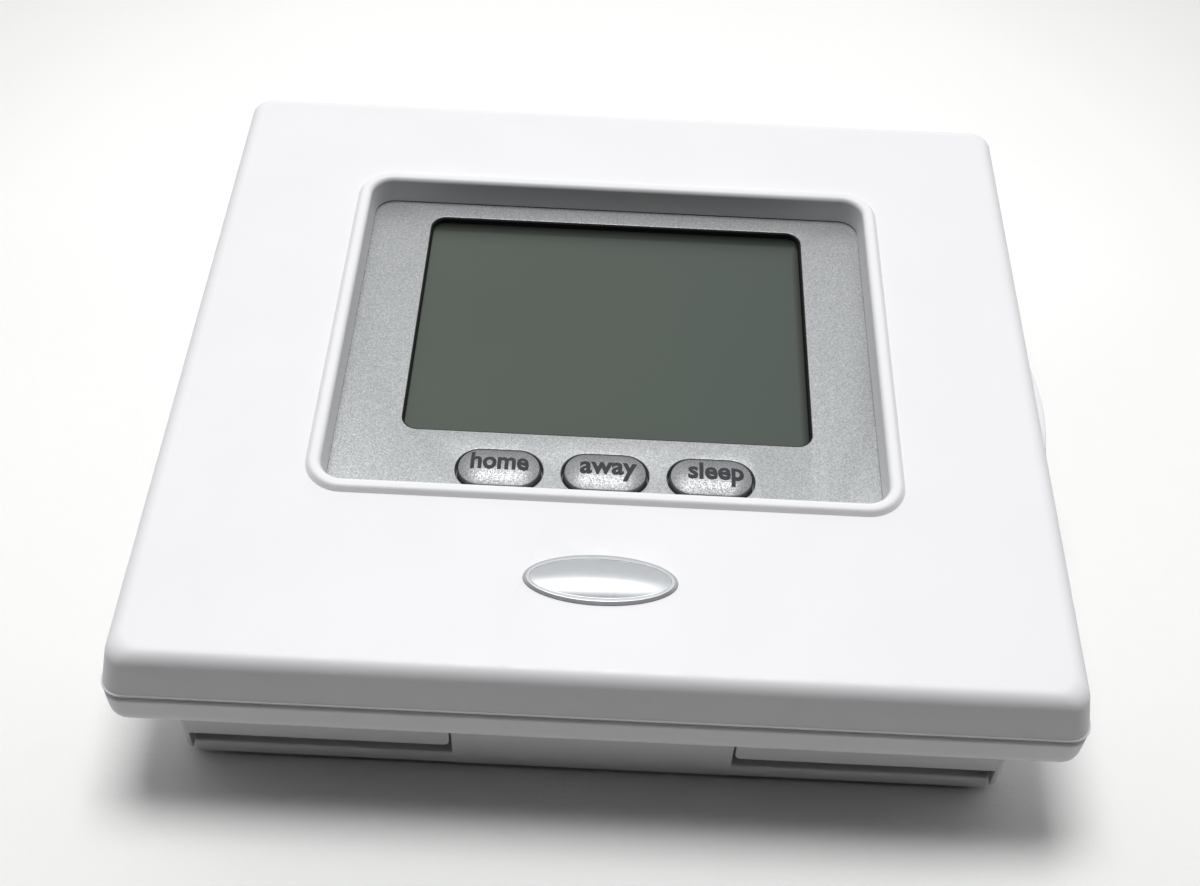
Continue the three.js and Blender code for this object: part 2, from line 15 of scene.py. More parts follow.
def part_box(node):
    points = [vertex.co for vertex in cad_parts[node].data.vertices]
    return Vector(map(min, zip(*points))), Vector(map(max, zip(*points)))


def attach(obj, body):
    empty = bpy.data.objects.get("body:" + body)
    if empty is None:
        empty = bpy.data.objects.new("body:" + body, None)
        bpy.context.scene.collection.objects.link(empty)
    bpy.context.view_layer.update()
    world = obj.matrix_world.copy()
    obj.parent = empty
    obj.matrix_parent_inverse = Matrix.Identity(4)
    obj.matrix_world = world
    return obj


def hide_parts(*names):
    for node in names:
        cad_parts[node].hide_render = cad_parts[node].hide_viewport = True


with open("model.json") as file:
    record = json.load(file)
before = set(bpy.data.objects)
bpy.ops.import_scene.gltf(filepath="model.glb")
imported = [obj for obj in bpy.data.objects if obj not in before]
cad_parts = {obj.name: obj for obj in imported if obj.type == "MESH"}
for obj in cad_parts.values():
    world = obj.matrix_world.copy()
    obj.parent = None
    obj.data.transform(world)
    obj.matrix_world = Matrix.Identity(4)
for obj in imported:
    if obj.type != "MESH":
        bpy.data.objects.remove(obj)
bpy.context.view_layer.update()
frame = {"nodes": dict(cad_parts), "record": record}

MM = 0.001
CORNER_STEPS = 10
SIDE_STEPS = 48
ARC_STEPS = 6
HOLD = 0.08  # from an arc's end to the point that keeps the flat beside it flat
SHARP_ANGLE = radians(32)
SAME_PLACE = 1e-7


# ---- sizes from the frame --------------------------------------------------------------------


def box_mm(node):
    low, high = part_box(node)
    return low / MM, high / MM


def middle(node):
    low, high = box_mm(node)
    return (low + high) / 2


def size(node):
    low, high = box_mm(node)
    return high - low


DOOR_LOW, DOOR_HIGH = box_mm("door")
WIDTH = -2 * DOOR_LOW.x
HEIGHT = 2 * DOOR_HIGH.y
TAB_DEPTH = DOOR_HIGH.x - WIDTH / 2
DOOR_BOTTOM = 23.3
LIP_TOP = DOOR_HIGH.z
LIP_RISE = 0.8
DOOR_FACE = LIP_TOP - LIP_RISE
FASCIA_TOP = box_mm("fascia")[1].z
GAP = 0.3  # between parts that move or plug into one another


# ---- mesh making -----------------------------------------------------------------------------


def ring(width, height, radius, centre=(0, 0), corner=CORNER_STEPS, side=SIDE_STEPS):
    """Points round a rounded rectangle, anticlockwise from the foot of its right side."""
    points = []
    half = Vector((width / 2 - radius, height / 2 - radius))
    for quarter in range(4):
        turn = Matrix.Rotation(quarter * pi / 2, 2)
        across, along = (half.x, half.y) if quarter % 2 == 0 else (half.y, half.x)
        for i in range(side):
            points.append(turn @ Vector((across + radius, along * (2 * i / side - 1))))
        for i in range(corner):
            angle = i / corner * pi / 2
            points.append(turn @ Vector((across + radius * cos(angle), along + radius * sin(angle))))
    return [p + Vector(centre) for p in points]


def oval(width, height, centre, steps=96):
    angles = [2 * pi * i / steps for i in range(steps)]
    return [Vector((centre[0] + width / 2 * cos(a), centre[1] + height / 2 * sin(a))) for a in angles]


def at(points, z):
    return [Vector((p.x, p.y, z)) for p in points]


def rounded(corners, steps=ARC_STEPS):
    """A profile of (across, z) points with each (across, z, radius) corner turned into an arc.

    A hold point stands just outside each arc, so that the flats beside it shade flat.
    """
    profile = []
    for i, (across, z, radius) in enumerate(corners):
        corner = Vector((across, z))
        if radius == 0 or i in (0, len(corners) - 1):
            profile.append(corner)
            continue
        back = (Vector(corners[i - 1][:2]) - corner).normalized()
        ahead = (Vector(corners[i + 1][:2]) - corner).normalized()
        half = back.angle(ahead) / 2
        reach = radius / tan(half)
        centre = corner + (back + ahead).normalized() * radius / sin(half)
        start = corner + back * reach
        spoke = start - centre
        sweep = (pi - 2 * half) * (1 if back.y * ahead.x - back.x * ahead.y > 0 else -1)
        profile.append(start + back * HOLD)
        for step in range(steps + 1):
            profile.append(centre + Matrix.Rotation(sweep * step / steps, 2) @ spoke)
        profile.append(corner + ahead * (reach + HOLD))
    return profile


def loft(layers, closed=False):
    """A skin over rings of equal length. A closed one joins its last ring to its first."""
    mesh = bmesh.new()
    rows = [[mesh.verts.new(p * MM) for p in layer] for layer in layers]
    count = len(rows[0])
    for low, high in zip(rows, rows[1:] + rows[:1] if closed else rows[1:]):
        for i in range(count):
            j = (i + 1) % count
            mesh.faces.new((low[i], low[j], high[j], high[i]))
    if not closed:
        mesh.faces.new(rows[0][::-1])
        mesh.faces.new(rows[-1])
    bmesh.ops.recalc_face_normals(mesh, faces=mesh.faces)
    return mesh


def block(low, high, bevel):
    """A box between two corners with rounded edges."""
    mesh = bmesh.new()
    bmesh.ops.create_cube(mesh, size=1)
    low, high = Vector(low) * MM, Vector(high) * MM
    for vertex in mesh.verts:
        vertex.co = (low + high) / 2 + vertex.co * (high - low)
    bmesh.ops.bevel(mesh, geom=mesh.edges[:], offset=bevel * MM, segments=3, profile=0.5, affect="EDGES")
    return mesh


def piece(name, mesh):
    """Turns a finished bmesh into an object in the scene."""
    data = bpy.data.meshes.new(name)
    mesh.to_mesh(data)
    mesh.free()
    made = bpy.data.objects.new(name, data)
    bpy.context.scene.collection.objects.link(made)
    return made


def apply_modifiers(made):
    """Replaces the object's mesh with what its modifiers make of it."""
    bpy.context.view_layer.update()
    evaluated = made.evaluated_get(bpy.context.evaluated_depsgraph_get())
    data = bpy.data.meshes.new_from_object(evaluated)
    old = made.data
    made.modifiers.clear()
    made.data = data
    data.name = made.name
    bpy.data.meshes.remove(old)


def combine(made, meshes, operation):
    """Joins the meshes to the piece or cuts them out of it, one after another."""
    for mesh in meshes:
        tool = piece("tool", mesh)
        change = made.modifiers.new("combine", "BOOLEAN")
        change.operation = operation
        change.solver = "EXACT"
        change.object = tool
        apply_modifiers(made)
        bpy.data.objects.remove(tool)


def dress(made, material, slot, body, *nodes):
    """Smooths a finished piece, gives it its material and its body, and hides the CAD nodes that it stands
    for. The slot is not used.
    """
    data = made.data
    data.polygons.foreach_set("use_smooth", [True] * len(data.polygons))
    data.set_sharp_from_angle(angle=SHARP_ANGLE)
    data.materials.clear()
    data.materials.append(material)
    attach(made, body)
    if nodes:
        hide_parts(*nodes)


# ---- materials -------------------------------------------------------------------------------


class Nodes:
    """A node tree, with short calls that add and join nodes."""

    def __init__(self, tree):
        self.tree = tree

    def add(self, kind, inputs=None, **settings):
        node = self.tree.nodes.new(kind)
        for key, value in settings.items():
            setattr(node, key, value)
        for key, value in (inputs or {}).items():
            if isinstance(value, bpy.types.NodeSocket):
                self.tree.links.new(value, node.inputs[key])
            else:
                node.inputs[key].default_value = value
        return node

    def band(self, value, low, high, to_low=0.0, to_high=1.0, shape="LINEAR"):
        """Maps low..high to to_low..to_high and holds the ends."""
        inputs = {"Value": value, "From Min": low, "From Max": high, "To Min": to_low, "To Max": to_high}
        return self.add("ShaderNodeMapRange", inputs, interpolation_type=shape).outputs["Result"]

    def maths(self, operation, a, b=0.0):
        return self.add("ShaderNodeMath", {0: a, 1: b}, operation=operation).outputs["Value"]


class Finish(Nodes):
    """A material's node tree, built on its Principled shader."""

    def __init__(self, name, colour, roughness, metallic=0.0):
        self.material = bpy.data.materials.new(name)
        self.material.use_nodes = True
        super().__init__(self.material.node_tree)
        self.shader = self.tree.nodes["Principled BSDF"]
        self.place = self.add("ShaderNodeTexCoord").outputs["Object"]
        self.set("Base Color", (*colour, 1))
        self.set("Roughness", roughness)
        self.set("Metallic", metallic)
        self.normal = None

    def set(self, socket, value):
        self.shader.inputs[socket].default_value = value

    def feed(self, socket, output):
        self.tree.links.new(output, self.shader.inputs[socket])

    def noise(self, grain, detail):
        """Noise whose lumps are about grain millimetres across."""
        inputs = {"Vector": self.place, "Scale": 1 / (grain * MM), "Detail": detail}
        return self.add("ShaderNodeTexNoise", inputs).outputs["Fac"]

    def cells(self, spread):
        """Cells about spread millimetres apart, and one random number for each of them."""
        inputs = {"Vector": self.place, "Scale": 1 / (spread * MM)}
        cells = self.add("ShaderNodeTexVoronoi", inputs)
        chance = self.add("ShaderNodeSeparateColor", {"Color": cells.outputs["Color"]})
        return cells, chance.outputs["Red"]

    def mix(self, factor, a, b):
        node = self.add("ShaderNodeMix", {"Factor": factor}, data_type="RGBA")
        for socket, value in ((node.inputs[6], a), (node.inputs[7], b)):
            if isinstance(value, bpy.types.NodeSocket):
                self.tree.links.new(value, socket)
            else:
                socket.default_value = (*value, 1)
        return node.outputs[2]

    def bump(self, height, depth, strength=1.0):
        """Adds relief depth millimetres deep on top of any that is already there."""
        inputs = {"Height": height, "Distance": depth * MM, "Strength": strength}
        if self.normal:
            inputs["Normal"] = self.normal
        self.normal = self.add("ShaderNodeBump", inputs).outputs["Normal"]
        self.feed("Normal", self.normal)

    def vary_roughness(self, grain, detail, low, high):
        self.feed("Roughness", self.band(self.noise(grain, detail), 0.3, 0.7, low, high))


def speckle(finish, spread, radius, share):
    """1 on small dots, at most one in each cell of that spread, in that share of the cells."""
    cells, chance = finish.cells(spread)
    dot = finish.band(cells.outputs["Distance"], radius / spread, 0.6 * radius / spread)
    return finish.maths("MULTIPLY", dot, finish.maths("LESS_THAN", chance, share))


def white_plastic():
    """Satin white plastic with a few specks of dust."""
    finish = Finish("white_plastic", (0.8, 0.8, 0.82), 0.36)
    tone = finish.mix(finish.noise(14, 3), (0.765, 0.765, 0.78), (0.8, 0.8, 0.822))
    soiled = finish.mix(speckle(finish, 9, 0.16, 0.16), tone, (0.42, 0.4, 0.37))
    finish.feed("Base Color", soiled)
    finish.vary_roughness(3.5, 4, 0.42, 0.52)
    finish.bump(finish.noise(0.35, 3), 0.006, 0.5)
    finish.bump(finish.noise(9, 1), 0.02, 0.4)
    return finish.material


def silver_paint(name, dark, light, flake, metallic, roughness, relief):
    """Fine metal flakes in clear lacquer: each flake has its own tone and lean."""
    finish = Finish(name, light, roughness, metallic)
    tone = finish.cells(flake)[1]
    finish.feed("Base Color", finish.mix(tone, dark, light))
    finish.feed("Roughness", finish.band(tone, 0, 1, roughness + 0.12, roughness - 0.06))
    finish.bump(tone, relief)
    finish.bump(finish.noise(0.9, 3), relief / 3, 0.6)
    return finish.material


def display():
    """Dark greenish glass over a reflector set deeper, with painted shade along its top and right edges,
    where the opening's edge would shade the reflector.
    """
    finish = Finish("display", (0.06, 0.072, 0.058), 0.1)
    low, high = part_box("display_glass")
    parts = finish.add("ShaderNodeSeparateXYZ", {"Vector": finish.place}).outputs
    tone = finish.mix(finish.noise(25, 2), (0.088, 0.106, 0.087), (0.1, 0.119, 0.099))
    tone = finish.mix(finish.band(parts["X"], low.x, high.x), tone, (0.08, 0.1, 0.088))
    # Painted shade: the colour darkens towards the panel's top edge and its right edge.
    above = finish.band(parts["Y"], high.y - 5 * MM, high.y + 0.5 * MM)
    above = finish.maths("MULTIPLY", above, above)
    beside = finish.band(parts["X"], high.x - 0.5 * MM, high.x + 0.6 * MM)
    tone = finish.mix(finish.maths("MAXIMUM", above, beside), tone, (0.024, 0.027, 0.024))
    # Real dust specks, laid over the tone that carries the painted shade.
    dust_and_painted_shade = finish.mix(speckle(finish, 2.6, 0.06, 0.22), tone, (0.16, 0.17, 0.15))
    finish.feed("Base Color", dust_and_painted_shade)
    finish.vary_roughness(6, 4, 0.07, 0.14)
    finish.bump(finish.noise(11, 1), 0.003, 0.3)
    return finish.material


def moulded(name, dark, light, roughness, grain=0.3, relief=0.01):
    """Plain moulded plastic or rubber with a fine grain."""
    finish = Finish(name, light, roughness)
    finish.feed("Base Color", finish.mix(finish.noise(1.8, 5), dark, light))
    finish.vary_roughness(1.1, 4, roughness - 0.05, roughness + 0.08)
    finish.bump(finish.noise(grain, 3), relief, 0.6)
    return finish.material


def metal(name, dark, light, roughness):
    """Bare metal with fine grain and uneven polish."""
    finish = Finish(name, light, roughness, 1.0)
    finish.feed("Base Color", finish.mix(finish.noise(1.2, 5), dark, light))
    finish.vary_roughness(0.5, 4, roughness - 0.06, roughness + 0.12)
    finish.bump(finish.noise(0.25, 2), 0.006, 0.5)
    return finish.material


def satin(name, dark, light, roughness, metallic):
    """Satin metal print under clear lacquer."""
    finish = Finish(name, light, roughness, metallic)
    finish.feed("Base Color", finish.mix(finish.noise(1.6, 4), dark, light))
    finish.vary_roughness(0.8, 3, roughness - 0.03, roughness + 0.04)
    finish.bump(finish.noise(0.5, 2), 0.002, 0.4)
    return finish.material


def matt_black():
    """Black plastic that hardly shines."""
    finish = Finish("matt_black", (0.04, 0.046, 0.042), 0.85)
    finish.set("Specular IOR Level", 0.12)
    tone = finish.mix(finish.noise(1.8, 5), (0.036, 0.043, 0.038), (0.046, 0.053, 0.048))
    finish.feed("Base Color", tone)
    finish.bump(finish.noise(0.3, 3), 0.01, 0.6)
    return finish.material


WHITE = white_plastic()
FASCIA_SILVER = silver_paint(
    "silver_fascia", (0.32, 0.33, 0.335), (0.53, 0.542, 0.547),
    flake=0.14, metallic=0.55, roughness=0.4, relief=0.018,
)
KEY_SILVER = silver_paint(
    "button_silver", (0.24, 0.246, 0.25), (0.42, 0.426, 0.43),
    flake=0.11, metallic=0.75, roughness=0.46, relief=0.012,
)
BADGE_SILVER = satin("badge_silver", (0.47, 0.482, 0.495), (0.51, 0.522, 0.535), 0.33, 0.35)
DISPLAY = display()
MATT_BLACK = matt_black()
BLACK = moulded("black_plastic", (0.012, 0.012, 0.012), (0.022, 0.023, 0.023), 0.4)
TERMINAL = moulded("terminal_plastic", (0.035, 0.036, 0.038), (0.055, 0.056, 0.06), 0.45)
LEGEND = moulded("legend_ink", (0.04, 0.042, 0.05), (0.055, 0.058, 0.066), 0.75)
BRASS = metal("brass_screw", (0.55, 0.4, 0.16), (0.78, 0.6, 0.28), 0.28)
STEEL = metal("steel", (0.42, 0.43, 0.45), (0.62, 0.63, 0.65), 0.26)
BOARD = moulded("board_green", (0.012, 0.1, 0.035), (0.02, 0.17, 0.06), 0.3, grain=0.6, relief=0.02)
GUIDE = moulded("light_guide", (0.7, 0.74, 0.7), (0.8, 0.84, 0.8), 0.3)
RUBBER = moulded("contact_rubber", (0.08, 0.08, 0.085), (0.14, 0.14, 0.145), 0.7)
SENSOR = moulded("sensor_blue", (0.01, 0.05, 0.18), (0.02, 0.09, 0.3), 0.22)
RELAY = moulded("relay_shell", (0.62, 0.6, 0.54), (0.72, 0.7, 0.64), 0.38)

SLOT_MATERIALS = {
    "white_plastic": WHITE, "silver_fascia": FASCIA_SILVER, "button_silver": KEY_SILVER,
    "badge_silver": BADGE_SILVER, "display_glass": DISPLAY, "black_plastic": BLACK,
    "terminal_plastic": TERMINAL, "brass_screw": BRASS, "steel": STEEL, "board_green": BOARD,
    "light_guide": GUIDE, "contact_rubber": RUBBER, "sensor_blue": SENSOR, "relay_shell": RELAY,
}


def dress_cad_nodes():
    """Every CAD node takes the material of its slot in the record."""
    for row in frame["record"]["subparts"]:
        data = frame["nodes"][row["node"]].data
        data.materials.clear()
        data.materials.append(SLOT_MATERIALS[row["material_slot"]])


dress_cad_nodes()


# ---- door ------------------------------------------------------------------------------------

DOOR = {
    "corner": 3, "flare": tan(radians(12)), "round": 2.3, "wall": 1.8, "arris": 0.12,
    "hinge_side": 0.3,  # the left wall stands this much further in than the right one
}
# The wall steps in over a fine ridge, which climbs over the hinge bead along the left edge.
RIDGE = {"step": 0.15, "foot": 0.18, "rise": 0.12, "bead_foot": 1.62, "bead_rise": 0.16}
WINDOW = {"width": 81.4, "height": 64, "radius": 3.5, "centre": (0, 5)}
LIP = {"width": 2.15, "lean": 0.68, "draft": 0.3, "skirt": 1.6, "foot": FASCIA_TOP + 0.12}
HINGE = {"x": -64.5, "z": 24.8, "bead": 1.5, "ear": 5, "hole": 1.8, "ys": (42, -42)}
TAB = {"y": -4.5, "length": 19, "top": 27.6}
TAB_CLOSE = 0.03
TAB_EDGE = ((0.25, 1), (0.07, 0.93), (0, 0.75), (-TAB_CLOSE, 0))  # depth under its top, share of its reach
BEAD_RUN_OUT = 10
NOTCH = {"side_play": 0.35, "depth": 2.2, "rise": 1.9, "round": 0.5}
ROLL = {"radius": 0.7, "end_radius": 0.4, "taper": 0.5, "end_gap": 0.6}
RIBS = {"thickness": 0.9, "depth": 0.9, "x": 52, "spans": ((-48.5, -36.5), (44.5, 50.5))}
PAD = {"x": 57, "y": 44, "radii": ((2.2, -0.25), (2.35, -0.1), (2.35, 0.3))}


def door_ring(inset, z):
    width = WIDTH - 2 * inset - DOOR["hinge_side"]
    return at(ring(width, HEIGHT - 2 * inset, DOOR["corner"], (DOOR["hinge_side"] / 2, 0)), z)


def window_ring(spread, z):
    radius = WINDOW["radius"] + spread
    outline = ring(WINDOW["width"] + 2 * spread, WINDOW["height"] + 2 * spread, radius, WINDOW["centre"])
    return at(outline, z)


def beadness(point):
    """1 along the straight part of the left edge, where the door thickens into its hinge bead."""
    if point.x > -WIDTH / 2 + DOOR["corner"]:
        return 0.0
    run = HEIGHT / 2 - DOOR["corner"]
    return max(0.0, min(1.0, (run - abs(point.y)) / BEAD_RUN_OUT))


def tab_reach(y):
    """How far the finger tab stands out of the right wall."""
    half = TAB["length"] / 2
    across = min(1.0, abs(y - TAB["y"]) / half)
    return TAB_DEPTH * (1 - across ** 2)


def edge_layer(angle):
    """One ring of the rounded lower edge, which the bead makes rounder along the left side."""
    layer = []
    for foot in door_ring(0, 0):
        radius = DOOR["arris"] + (HINGE["bead"] - DOOR["arris"]) * beadness(foot)
        inset = radius * (1 - sin(angle))
        rise = radius * (1 - cos(angle))
        reach = tab_reach(foot.y) if on_right_wall(foot) else 0.0
        place = foot + outward_of(foot) * (reach - inset - rise * DOOR["flare"])
        layer.append(Vector((place.x, place.y, DOOR_BOTTOM + rise)))
    return layer


def wall_layer(rise, step_in, tab_share, bead_rise=None):
    """One ring of the flared wall. With a bead rise it lies that high on the bead, without the step in."""
    layer = []
    for foot, place in zip(door_ring(0, 0), door_ring(step_in + rise * DOOR["flare"], 0)):
        reach = tab_share * tab_reach(foot.y) if on_right_wall(foot) else 0.0
        climb = 0.0
        if bead_rise:
            reach += step_in * beadness(foot)
            climb = (bead_rise - rise) * beadness(foot)
        place = place + outward_of(foot) * (reach - climb * DOOR["flare"])
        layer.append(Vector((place.x, place.y, DOOR_BOTTOM + rise + climb)))
    return layer


def outer_wall_layers():
    """The flared wall from its lower edge up to the finger tab's top."""
    layers = [edge_layer(step / ARC_STEPS * pi / 2) for step in range(ARC_STEPS + 1)]
    for share in (0, 0.5, 1):
        rise = RIDGE["foot"] + share * RIDGE["rise"]
        bead_rise = RIDGE["bead_foot"] + share * RIDGE["bead_rise"]
        layers.append(wall_layer(rise, share * RIDGE["step"], 1, bead_rise))
    for depth, share in TAB_EDGE:
        layers.append(wall_layer(TAB["top"] - depth - DOOR_BOTTOM, RIDGE["step"], share))
    return layers


def on_right_wall(point):
    return point.x > WIDTH / 2 - 0.01


def outward_of(point):
    """The way out of the outline at one of its points."""
    corner = Vector((WIDTH / 2 - DOOR["corner"], HEIGHT / 2 - DOOR["corner"]))
    away = Vector((
        max(abs(point.x) - corner.x, 0) * (1 if point.x > 0 else -1),
        max(abs(point.y) - corner.y, 0) * (1 if point.y > 0 else -1),
        0,
    ))
    return away.normalized()


def door_mesh():
    """The door without its hinge, ribs and badge: up the outer wall, over the lip, back down inside."""
    shoulder = (DOOR_FACE - DOOR_BOTTOM) * DOOR["flare"] + RIDGE["step"]
    tab_top = TAB["top"] + TAB_CLOSE
    tab_inset = (tab_top - DOOR_BOTTOM) * DOOR["flare"] + RIDGE["step"]
    layers = outer_wall_layers()
    upper = rounded([
        (tab_inset, tab_top, 0), (shoulder, DOOR_FACE, DOOR["round"]), (shoulder + 6, DOOR_FACE, 0),
    ], 12)
    layers += [door_ring(inset, z) for inset, z in upper[1:-1]]
    lip_foot = LIP["width"] + 0.05
    inside_face = DOOR_FACE - DOOR["wall"]
    lip = rounded([
        (lip_foot + 1.5, DOOR_FACE, 0), (lip_foot, DOOR_FACE, 0.05),
        (lip_foot - LIP["lean"], LIP_TOP, 0.8), (0, LIP_TOP, 0.85),
        (-LIP["draft"], LIP["foot"], 0.12), (LIP["skirt"], LIP["foot"], 0.15),
        (LIP["skirt"], inside_face, 0.3), (LIP["skirt"] + 4, inside_face, 0),
    ], 8)
    layers += [window_ring(spread, z) for spread, z in lip]
    foot = DOOR["wall"]
    inner = foot + shoulder - 0.6
    inside = rounded([(inner + 3, inside_face, 0), (inner, inside_face, 0.8), (foot, DOOR_BOTTOM, 0)])
    layers += [door_ring(inset, z) for inset, z in inside]
    return loft(layers, closed=True)


def hinge_notches():
    """Room for the body's hinge ears in the door's left wall."""
    tools = []
    half = HINGE["ear"] / 2 + NOTCH["side_play"]
    for y in HINGE["ys"]:
        low = (-WIDTH / 2 - 1, y - half, DOOR_BOTTOM - 1)
        high = (HINGE["x"] + NOTCH["depth"], y + half, HINGE["z"] + NOTCH["rise"])
        tools.append(block(low, high, NOTCH["round"]))
    return tools


def hinge_bead():
    """The roll inside the left edge that turns on the hinge pins."""
    reach = HEIGHT / 2 - DOOR["corner"] - ROLL["end_gap"]
    inner = reach - ROLL["taper"]
    rolls = []
    for y, radius in (
        (-reach, ROLL["end_radius"]), (-inner, ROLL["radius"]),
        (inner, ROLL["radius"]), (reach, ROLL["end_radius"]),
    ):
        circle = oval(2 * radius, 2 * radius, (HINGE["x"], HINGE["z"]), 48)
        rolls.append([Vector((p.x, y, p.y)) for p in circle])
    return loft(rolls)


def door_ribs():
    """Two frames of stiffening ribs inside the door, above and below its window, and four round pads."""
    roof = DOOR_FACE - DOOR["wall"]
    half = RIBS["thickness"] / 2
    low_z, high_z = roof - RIBS["depth"], roof + 0.4
    ribs = []
    for low, high in RIBS["spans"]:
        for y in (low, high):
            ribs.append(block((-RIBS["x"], y - half, low_z), (RIBS["x"], y + half, high_z), 0.2))
        for x in (-RIBS["x"], RIBS["x"]):
            ribs.append(block((x - half, low, low_z), (x + half, high, high_z), 0.2))
    for x in (-PAD["x"], PAD["x"]):
        for y in (-PAD["y"], PAD["y"]):
            ribs.append(loft([at(oval(2 * r, 2 * r, (x, y), 40), roof + z) for r, z in PAD["radii"]]))
    return ribs


def badge_pocket():
    """The badge's shallow seat in the door's face, whose edge is rounded over."""
    place = middle("badge").xy
    clearance = 0.03
    width, height = size("badge").x + 2 * clearance, size("badge").y + 2 * clearance
    turn = 0.05
    profile = [(0, DOOR_FACE - 0.6), (0, DOOR_FACE - turn)]
    profile += [(turn * (1 - cos(a)), DOOR_FACE + turn * (sin(a) - 0.98)) for a in (0.5, 1, pi / 2)]
    profile.append((turn, DOOR_FACE + 1))
    return loft([at(oval(width + 2 * out, height + 2 * out, place), z) for out, z in profile])


def make_door():
    door = piece("door_shell", door_mesh())
    combine(door, [hinge_bead()] + door_ribs(), "UNION")
    combine(door, hinge_notches() + [badge_pocket()], "DIFFERENCE")
    dress(door, WHITE, "white_plastic", "door", "door")


make_door()


# ---- badge -----------------------------------------------------------------------------------


BADGE = {"rim_height": 0.7, "rim_width": 0.97, "groove": 0.05, "dome": 0.7, "rings": 24}


def make_badge():
    """A domed oval inside a thin raised rim, left blank."""
    centre = middle("badge").xy
    bottom = box_mm("badge")[0].z
    width, height = size("badge").xy
    rim_top = bottom + BADGE["rim_height"]
    dome_foot = rim_top - BADGE["groove"]
    rim = rounded([
        (2, bottom, 0), (0, bottom, 0.05), (0, rim_top - 0.24, 0.05), (0.4, rim_top, 0.3),
        (0.82, rim_top, 0.06), (0.9, dome_foot, 0.04), (1.3, rim_top, 0),
    ], 8)
    layers = [at(oval(width - 2 * inset, height - 2 * inset, centre), z) for inset, z in rim[:-1]]
    width -= 2 * BADGE["rim_width"]
    height -= 2 * BADGE["rim_width"]
    for step in range(BADGE["rings"]):
        share = 1 - (step / BADGE["rings"]) ** 1.2
        z = dome_foot + BADGE["dome"] * (1 - share ** 2)
        layers.append(at(oval(width * share, height * share, centre), z))
    badge = piece("badge_oval", loft(layers))
    dress(badge, BADGE_SILVER, "badge_silver", "door", "badge")


# ---- fascia and display ----------------------------------------------------------------------

DISPLAY_OPENING = {"radius": 2.5, "turn": 0.13}
LINER = {"wall": 0.15, "play": 0.06, "sunk": 0.2, "edge": 0.02}  # the black frame inside the opening
KEY_CLEARANCE = 0.35
KEY_OPENING_TURN = 0.16
PRESETS = ("home", "away", "sleep")
ARROWS = ("temp_up", "temp_down")
MENUS = ("mode", "fan", "program", "hold")
KEY_STYLES = {
    "preset": {"width": 12.2, "height": 6.9, "radius": 3.4, "dome": 0.73},
    "arrow": {"width": 11, "height": 9, "radius": 2.4, "dome": 0.5},
    "menu": {"width": 12, "height": 6, "radius": 2.95, "dome": 0.5},
}
KEY_DRAFT = 0.18
KEY_DOME_RINGS = 18
KEY_FLANGE = {"depth": 1.9, "thickness": 0.8, "width": 0.8}
INK = {"height": 0.035, "sunk": 0.02, "longest_edge": 0.4, "size_per_x_height": 1.83}


def key_style(name):
    if name in PRESETS:
        return KEY_STYLES["preset"]
    return KEY_STYLES["arrow"] if name in ARROWS else KEY_STYLES["menu"]


def opening(width, height, radius, centre, low, top, turn):
    """A cutter for a hole whose upper edge is rounded over, which ends just above the surface."""
    profile = [(0, low), (0, top - turn)]
    for step in range(1, ARC_STEPS + 1):
        angle = step / ARC_STEPS * pi / 2
        profile.append((turn * (1 - cos(angle)), top - turn + (turn + 0.002) * sin(angle)))
    profile.append((turn, top + 1))
    return loft([
        at(ring(width + 2 * out, height + 2 * out, radius + out, centre, 12, 8), z) for out, z in profile
    ])


def display_opening():
    return size("display_bezel").xy + Vector((2 * GAP, 2 * GAP))


def make_fascia():
    """The silver tray, open at the back, with openings for the display and every key."""
    low, high = box_mm("fascia")
    width, height = size("fascia").xy
    corners = [
        (6, high.z - 1.5, 0), (1.4, high.z - 1.5, 0.4), (1.4, low.z, 0.1), (0, low.z, 0.1),
        (0, high.z, 0.5), (3, high.z, 0),
    ]
    layers = [
        at(ring(width - 2 * inset, height - 2 * inset, max(2.5 - inset, 0.6), (0, 0), 8, 4), z)
        for inset, z in rounded(corners, 4)
    ]
    fascia = piece("fascia_panel", loft(layers))
    tools = [opening(
        *display_opening(), DISPLAY_OPENING["radius"], middle("display_bezel").xy,
        low.z, high.z, DISPLAY_OPENING["turn"],
    )]
    for name in PRESETS + ARROWS + MENUS:
        style = key_style(name)
        spread = 2 * KEY_CLEARANCE
        tools.append(opening(
            style["width"] + spread, style["height"] + spread, style["radius"] + KEY_CLEARANCE,
            middle(name + "_button").xy, low.z, high.z, KEY_OPENING_TURN,
        ))
    combine(fascia, tools, "DIFFERENCE")
    dress(fascia, FASCIA_SILVER, "silver_fascia", "housing", "fascia")


def make_display():
    """The black liner of the opening, and the display panel that lies in it."""
    centre = middle("display_bezel").xy
    width, height = display_opening() - Vector((2 * LINER["play"], 2 * LINER["play"]))
    radius = DISPLAY_OPENING["radius"] - LINER["play"]
    bottom = box_mm("display_bezel")[0].z
    top = FASCIA_TOP - LINER["sunk"]
    wall, edge = LINER["wall"], LINER["edge"]
    corners = [
        (wall, bottom + 1, 0), (wall, bottom, edge), (0, bottom, edge), (0, top, edge),
        (wall, top, edge), (wall, bottom + 1, 0),
    ]
    layers = [
        at(ring(width - 2 * inset, height - 2 * inset, radius - inset, centre, 12, 4), z)
        for inset, z in rounded(corners, 4)[:-1]
    ]
    bezel = piece("display_frame", loft(layers, closed=True))
    dress(bezel, MATT_BLACK, "black_plastic", "housing", "display_bezel")
    low, high = box_mm("display_glass")
    width -= 2 * (wall + edge)
    height -= 2 * (wall + edge)
    corners = [(4, low.z, 0), (0, low.z, 0.1), (0, high.z, 0.12), (4, high.z, 0)]
    layers = [
        at(ring(width - 2 * inset, height - 2 * inset, max(2.04 - inset, 0.4), centre, 10, 4), z)
        for inset, z in rounded(corners, 4)
    ]
    glass = piece("display_panel", loft(layers))
    dress(glass, DISPLAY, "display_glass", "housing", "display_glass")


